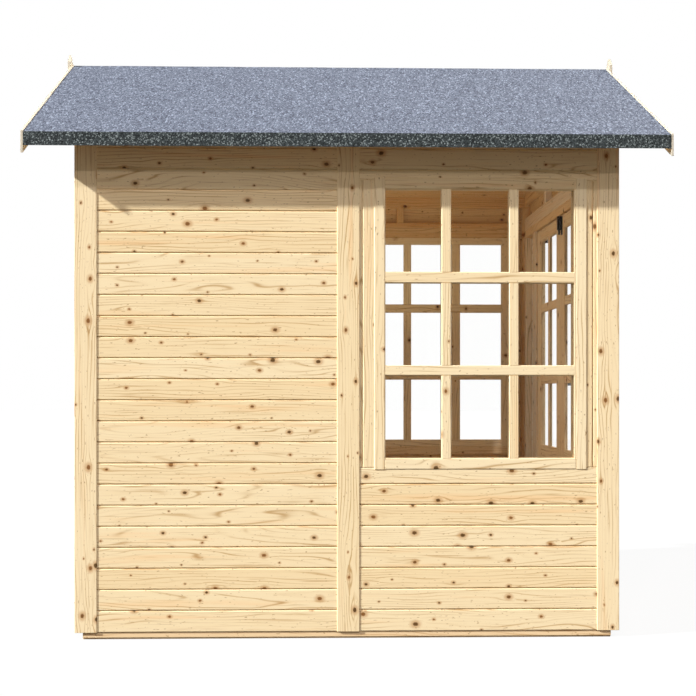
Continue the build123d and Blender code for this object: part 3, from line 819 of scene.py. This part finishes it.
PANEL_BOARDS = 5
DOOR_ACROSS = ((1.008, 1.051), (1.370, 1.412))
DOOR_BAR = 0.047
DOOR_BAR_OUT = 0.0045
DOOR_BAR_EASE = 0.002
DOOR_BEAD = 0.007
for side, word in SIDES:
    body = f"{word}_door"
    for part, seed in (("stiles", 90 + side), ("rails", 94 + side)):
        lined(f"{body}_{part}_pine", seed, f"{body}_{part}", JOINERY, "pine_joinery", body)

    low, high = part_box(f"{body}_panel")
    matchboards = Timber(f"{body}_matchboards", 97 + side)
    edges = even(low.y, high.y, PANEL_BOARDS)
    start = Vector((low.x, 0, 0))
    boarded(matchboards, edges, (low.z, high.z), start, Z, Y, X, high.x - low.x)
    matchboards.finish(CLADDING, "pine_cladding", body, (f"{body}_panel",))

    low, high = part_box(f"{body}_glass")
    lattice = Timber(f"{body}_bars", 101 + side)
    middle = (low.y + high.y) / 2
    bar_low, bar_high = middle - DOOR_BAR / 2, middle + DOOR_BAR / 2
    bead_low, bead_high = low.y + DOOR_BEAD, high.y - DOOR_BEAD
    panes = openings(low.z, high.z, DOOR_ACROSS)
    for x0, x1 in ((high.x, high.x + DOOR_BAR_OUT), (low.x - DOOR_BAR_OUT, low.x)):
        for z0, z1 in DOOR_ACROSS:
            lattice.bar((x0, low.y, z0), (x1, high.y, z1), Y, DOOR_BAR_EASE)
        for z0, z1 in panes:
            lattice.bar((x0, bar_low, z0), (x1, bar_high, z1), Z, DOOR_BAR_EASE)
        for y0, y1 in ((low.y, bead_low), (bead_high, high.y)):
            for z0, z1 in panes:
                lattice.bar((x0, y0, z0), (x1, y1, z1), Z, EASE)
        for y0, y1 in ((bead_low, bar_low), (bar_high, bead_high)):
            for z0, z1 in ((low.z, low.z + DOOR_BEAD), (high.z - DOOR_BEAD, high.z)):
                lattice.bar((x0, y0, z0), (x1, y1, z1), Y, EASE)
    lattice.finish(JOINERY, "pine_joinery", body)

# ---------------------------------------------------------------- roof

ROOF_BOARDS = 13
ROOF_BOARD_THICK = 0.014
ROOF_MARGIN = 0.0062  # of the boards at ridge and eaves
for side, word in SIDES:
    node = f"{word}_roof_boards"
    low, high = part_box(node)
    roof = Timber(f"{word}_roof_boarding", 111 + side)
    down = Vector((0, side * PITCH_COS, -PITCH_SIN))
    inward = Vector((0, -side * PITCH_SIN, -PITCH_COS))
    run = (high.y - low.y) / PITCH_COS
    edges = even(ROOF_MARGIN, run - ROOF_MARGIN, ROOF_BOARDS)
    start = Vector((0, 0, high.z))
    boarded(roof, edges, (low.x, high.x), start, X, down, inward, ROOF_BOARD_THICK)
    roof.finish(ROOF_BOARD, "roof_boards", replaces=(node,))

FELT_DEPTH = 0.0027  # of the sheet
FELT_ACROSS = 48  # steps down each slope
FELT_ALONG = 96
FELT_LUMP = 0.0006
FELT_LUMPS = 7.0  # to the metre
EAVE_ROWS = 12
EAVE_ALONG = 150
EAVE_LUMP = 0.0016
EAVE_LUMPS = 42.0
EAVE_PROUD = 0.0004
EAVE_LAP = 0.0012  # of the front strip over the rear one
EAVE_SEAM = -0.058
SEAM_LAP = 0.02
FELT_SHARP = math.radians(35)


def smoothed(bm, name, sharp):
    """A mesh of what was built, smooth but for its sharp edges."""
    bmesh.ops.recalc_face_normals(bm, faces=bm.faces[:])
    mesh = bpy.data.meshes.new(name)
    bm.to_mesh(mesh)
    bm.free()
    for polygon in mesh.polygons:
        polygon.use_smooth = True
    mesh.set_sharp_from_angle(angle=sharp)
    return mesh


def felt_sheet(name, outline, stations, uneven, scale, seed):
    """A felt sheet with small lumps, over an outline of (y, z, normal y, normal z) points."""
    bm = bmesh.new()
    shift = Vector((seed * 3.1, seed * 1.7, seed * 2.3))
    outer = []
    inner = []
    for x in stations:
        top = []
        under = []
        for y, z, ny, nz in outline:
            lump = noise.noise(Vector((x, y, z)) * scale + shift) * uneven
            lump += noise.noise(Vector((x, y, z)) * scale * 3.3 + shift) * uneven * 0.4
            top.append(bm.verts.new((x, y + ny * lump, z + nz * lump)))
            under.append(bm.verts.new((x, y - ny * FELT_DEPTH, z - nz * FELT_DEPTH)))
        outer.append(top)
        inner.append(under)
    last = len(outline) - 1
    for i in range(len(stations) - 1):
        for j in range(last):
            bm.faces.new((outer[i][j], outer[i + 1][j], outer[i + 1][j + 1], outer[i][j + 1]))
            bm.faces.new((inner[i][j], inner[i][j + 1], inner[i + 1][j + 1], inner[i + 1][j]))
        for j in (0, last):
            bm.faces.new((outer[i][j], inner[i][j], inner[i + 1][j], outer[i + 1][j]))
    for i in (0, len(stations) - 1):
        for j in range(last):
            bm.faces.new((outer[i][j], outer[i][j + 1], inner[i][j + 1], inner[i][j]))
    return smoothed(bm, name, FELT_SHARP)


slopes = []
for i in range(-FELT_ACROSS, FELT_ACROSS + 1):
    y = HALF_SPAN * i / FELT_ACROSS
    z = RIDGE_TOP - ROOF_SLOPE * abs(y)
    tilt = -1 if i < 0 else 1 if i > 0 else 0
    slopes.append((y, z, tilt * PITCH_SIN, PITCH_COS if tilt else 1.0))
stations = even(felt_low.x, felt_high.x, FELT_ALONG)
sheet = felt_sheet("roof_felt_sheet", slopes, stations, FELT_LUMP, FELT_LUMPS, 1)
show(sheet, "roof_felt_sheet", FELT, "root", ("roof_felt",))

eave_heights = even(felt_low.z, RIDGE_TOP - ROOF_SLOPE * HALF_SPAN, EAVE_ROWS)
for side, word in SIDES:
    for half, (end, x0, x1) in enumerate(
        (
            ("rear", felt_low.x, EAVE_SEAM + SEAM_LAP),
            ("front", EAVE_SEAM - SEAM_LAP, felt_high.x),
        )
    ):
        face_y = side * (HALF_SPAN + EAVE_PROUD + EAVE_LAP * half)
        drop = [(face_y, z, side, 0.0) for z in eave_heights]
        stations = even(x0, x1, EAVE_ALONG)
        name = f"{word}_eave_felt_{end}"
        seed = 5 + half + 2 * side
        strip = felt_sheet(name, drop, stations, EAVE_LUMP, EAVE_LUMPS, seed)
        show(strip, name, FELT_EDGE)

# ---------------------------------------------------------------- ironwork and glass

for material, coated in (
    (IRON, ("left_door_straps", "right_door_straps", "hinge_plates", "door_bolt", "door_knob")),
    (GLASS, ("window_glass", "left_door_glass", "right_door_glass")),
):
    for node in coated:
        nodes[node].data.materials.clear()
        nodes[node].data.materials.append(material)

STUD_SIDES = 14
STUD_PROFILE = ((1.0, 0.0), (1.0, 0.25), (0.86, 0.6), (0.55, 0.88), (0.2, 1.0))
STUD_SHARP = math.radians(50)
IRON_THICK = 0.003
STRAP_BOLTS = (0.612, 0.545, 0.455, 0.352)  # from the middle of the doorway
STRAP_BOLT = (0.0055, 0.003)  # radius and rise
PLATE_BOLTS = (-0.018, 0.018)  # from the hinge's height
PLATE_BOLT = (0.0045, 0.0025)
PLATE_Y = 0.682


def studs(name, places, radius, rise, body):
    """Domed heads of coach bolts on the front, each standing on the face it holds."""
    bm = bmesh.new()
    for centre in places:
        rings = []
        for r, h in STUD_PROFILE:
            ring = []
            for k in range(STUD_SIDES):
                turn = math.tau * k / STUD_SIDES
                spread = (Y * math.cos(turn) + Z * math.sin(turn)) * radius * r
                ring.append(bm.verts.new(Vector(centre) + spread + X * rise * h))
            rings.append(ring)
        for a, b in zip(rings, rings[1:]):
            for k in range(STUD_SIDES):
                m = (k + 1) % STUD_SIDES
                bm.faces.new((a[k], a[m], b[m], b[k]))
        bm.faces.new(rings[-1])
        bm.faces.new(list(reversed(rings[0])))
    return show(smoothed(bm, name, STUD_SHARP), name, IRON, body)


leaf_low, leaf_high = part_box("left_door_stiles")
strap_face = leaf_high.x + IRON_THICK
panel_low, panel_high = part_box("left_door_panel")
pane_low, pane_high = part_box("left_door_glass")
hinge_heights = [
    (leaf_low.z + panel_low.z) / 2,
    (panel_high.z + pane_low.z) / 2,
    (pane_high.z + leaf_high.z) / 2,
]
for side, word in SIDES:
    strap_heads = [(strap_face, side * y, z) for z in hinge_heights for y in STRAP_BOLTS]
    studs(f"{word}_strap_bolts", strap_heads, *STRAP_BOLT, f"{word}_door")
plate_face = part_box("door_casings")[1].x + IRON_THICK
plate_heads = [
    (plate_face, side * PLATE_Y, z + dz)
    for side in (-1, 1)
    for z in hinge_heights
    for dz in PLATE_BOLTS
]
studs("plate_bolts", plate_heads, *PLATE_BOLT, "root")

# ---------------------------------------------------------------- stage

SKY = 0.25
SKY_TINT = (1, 0.90, 0.74, 1)
FLOOR_GREY = (0.08, 0.08, 0.08, 1)  # for the light it throws back
FLOOR_SEEN = (0.07, 0.07, 0.07, 1)  # for its own shading, under the glow
FLOOR_GLOW = 0.90
FLOOR_REACH = 60.0

scene = bpy.context.scene
world = bpy.data.worlds.new("studio")
scene.world = world
world.use_nodes = True
tree = world.node_tree
tree.nodes.clear()


def seen_rays(tree):
    """1 for what the camera sees, straight or in glass and polished metal."""
    path = tree.nodes.new("ShaderNodeLightPath")
    total = path.outputs["Is Camera Ray"]
    for ray in ("Is Glossy Ray", "Is Transmission Ray"):
        most = tree.nodes.new("ShaderNodeMath")
        most.operation = "MAXIMUM"
        tree.links.new(total, most.inputs[0])
        tree.links.new(path.outputs[ray], most.inputs[1])
        total = most.outputs[0]
    return total


fill = tree.nodes.new("ShaderNodeBackground")
fill.inputs["Color"].default_value = SKY_TINT
fill.inputs["Strength"].default_value = SKY
white = tree.nodes.new("ShaderNodeBackground")
white.inputs["Color"].default_value = (1, 1, 1, 1)
white.inputs["Strength"].default_value = 1.0
choose = tree.nodes.new("ShaderNodeMixShader")
tree.links.new(seen_rays(tree), choose.inputs[0])
tree.links.new(fill.outputs[0], choose.inputs[1])
tree.links.new(white.outputs[0], choose.inputs[2])
world_out = tree.nodes.new("ShaderNodeOutputWorld")
tree.links.new(choose.outputs[0], world_out.inputs["Surface"])

ground = Shade("white_floor")
dull = ground.add("ShaderNodeBsdfDiffuse")
dull.inputs["Color"].default_value = FLOOR_GREY
shadowed = ground.add("ShaderNodeBsdfDiffuse")
shadowed.inputs["Color"].default_value = FLOOR_SEEN
glow = ground.add("ShaderNodeEmission")
glow.inputs["Strength"].default_value = FLOOR_GLOW
both = ground.add("ShaderNodeAddShader")
ground.put(both.inputs[0], shadowed.outputs[0])
ground.put(both.inputs[1], glow.outputs[0])
pick = ground.add("ShaderNodeMixShader")
ground.put(pick.inputs[0], seen_rays(ground.tree))
ground.put(pick.inputs[1], dull.outputs[0])
ground.put(pick.inputs[2], both.outputs[0])
ground.finish(pick.outputs[0])
floor_mesh = bpy.data.meshes.new("floor")
corners = [(x * FLOOR_REACH, y * FLOOR_REACH, 0) for x, y in ((-1, -1), (1, -1), (1, 1), (-1, 1))]
floor_mesh.from_pydata(corners, [], [(0, 1, 2, 3)])
floor_mesh.materials.append(ground.material)
floor = bpy.data.objects.new("floor", floor_mesh)
scene.collection.objects.link(floor)


def lamp(name, kind, strength, travel, tint):
    light = bpy.data.lights.new(name, kind)
    light.energy = strength * math.pi
    light.color = tint
    holder = bpy.data.objects.new(name, light)
    holder.rotation_mode = "QUATERNION"
    holder.rotation_quaternion = Vector(travel).normalized().to_track_quat("-Z", "Y")
    scene.collection.objects.link(holder)
    return holder


def sun(name, travel, strength, softness, tint):
    holder = lamp(name, "SUN", strength, travel, tint)
    holder.data.angle = math.radians(softness)
    return holder


def soft_lamp(name, place, travel, size, strength, tint):
    """A soft lamp inside the room, for the light that the floor and the panes throw about."""
    holder = lamp(name, "AREA", strength, travel, tint)
    holder.data.shape = "SQUARE"
    holder.data.size = size
    holder.location = place
    holder.visible_camera = False
    holder.visible_glossy = False
    return holder


def link_to(holder, pieces, state):
    """Keeps a lamp to some pieces, or off them, as a studio flag does."""
    group = bpy.data.collections.new(holder.name + "_pieces")
    for piece in pieces:
        group.objects.link(bpy.data.objects[piece])
    for entry in group.collection_objects:
        entry.light_linking.link_state = state
    holder.light_linking.receiver_collection = group


KEY = (3.05, 1.0, -1.72)
KEY_STRENGTH = 2.31
KEY_SOFTNESS = 1.5
BACK_SHARE = 0.42  # of the key, on the end that it meets squarely
COOL = (0.935, 0.98, 1.0)
BACK_END = (
    "back_boards",
    "back_gable_boards",
    "back_cover_strip",
    "end_corner_trims_pine",
    "bargeboards_pine",
    "finials_pine",
)
key = sun("key", KEY, KEY_STRENGTH, KEY_SOFTNESS, COOL)
link_to(key, (*BACK_END, "window_beads"), "EXCLUDE")
key_back = sun("key_back_end", KEY, KEY_STRENGTH * BACK_SHARE, KEY_SOFTNESS, COOL)
link_to(key_back, BACK_END, "INCLUDE")
sun("front_high", (-0.3, 1.0, -1.12), 0.28, 2.5, (0.90, 0.90, 1.0))
sun("front_low", (0.3, 1.0, -0.63), 0.125, 2.5, (1.0, 0.93, 0.93))
sun("fill", (-0.60, -0.60, -0.53), 0.82, 40.0, (1, 0.97, 0.92))

DOOR_END = (
    "door_head_timber",
    "door_casing_head_pine",
    "door_casings_pine",
    *(
        f"{word}_door_{part}"
        for _, word in SIDES
        for part in ("stiles_pine", "rails_pine", "bars", "matchboards")
    ),
)
DOOR_WALL = ("front_boards", "end_wall_studs_timber", "end_wall_plates_timber")
WINDOWS = (
    "window_trimmers_timber",
    "window_stiles_pine",
    "window_rails_pine",
    "window_bars",
    "window_beads",
)
bounce = soft_lamp("floor_bounce", (0, 0.1, 1.25), (0, 0, 1), 1.3, 1.05, (1.0, 0.90, 0.62))
link_to(bounce, DOOR_END, "EXCLUDE")
room = soft_lamp("room_light", (-0.65, -0.25, 1.5), (1.0, 0.1, -0.1), 0.8, 1.85, (1.0, 0.91, 0.74))
link_to(room, DOOR_END, "INCLUDE")
PANE_PLACE = (-0.3, -0.6, 1.0)
PANE_TRAVEL = (1.0, 0.75, -0.05)
for name, pieces, strength, tint in (
    ("pane_light", DOOR_WALL, 2.9, (0.36, 0.64, 1.0)),
    ("window_light", WINDOWS, 0.95, (0.60, 0.85, 1.0)),
):
    link_to(soft_lamp(name, PANE_PLACE, PANE_TRAVEL, 0.6, strength, tint), pieces, "INCLUDE")

camera = bpy.data.cameras.new("camera")
camera.sensor_width = 36.0
camera.lens = 72.92
camera.shift_y = 0.0615
viewer = bpy.data.objects.new("camera", camera)
viewer.location = (-0.1699, -6.5996, 0.9726)
viewer.rotation_euler = (math.radians(90), 0, math.radians(-1.744))
scene.collection.objects.link(viewer)
scene.camera = viewer
scene.view_settings.view_transform = "Standard"

# ---------------------------------------------------------------- update

bpy.context.view_layer.update()
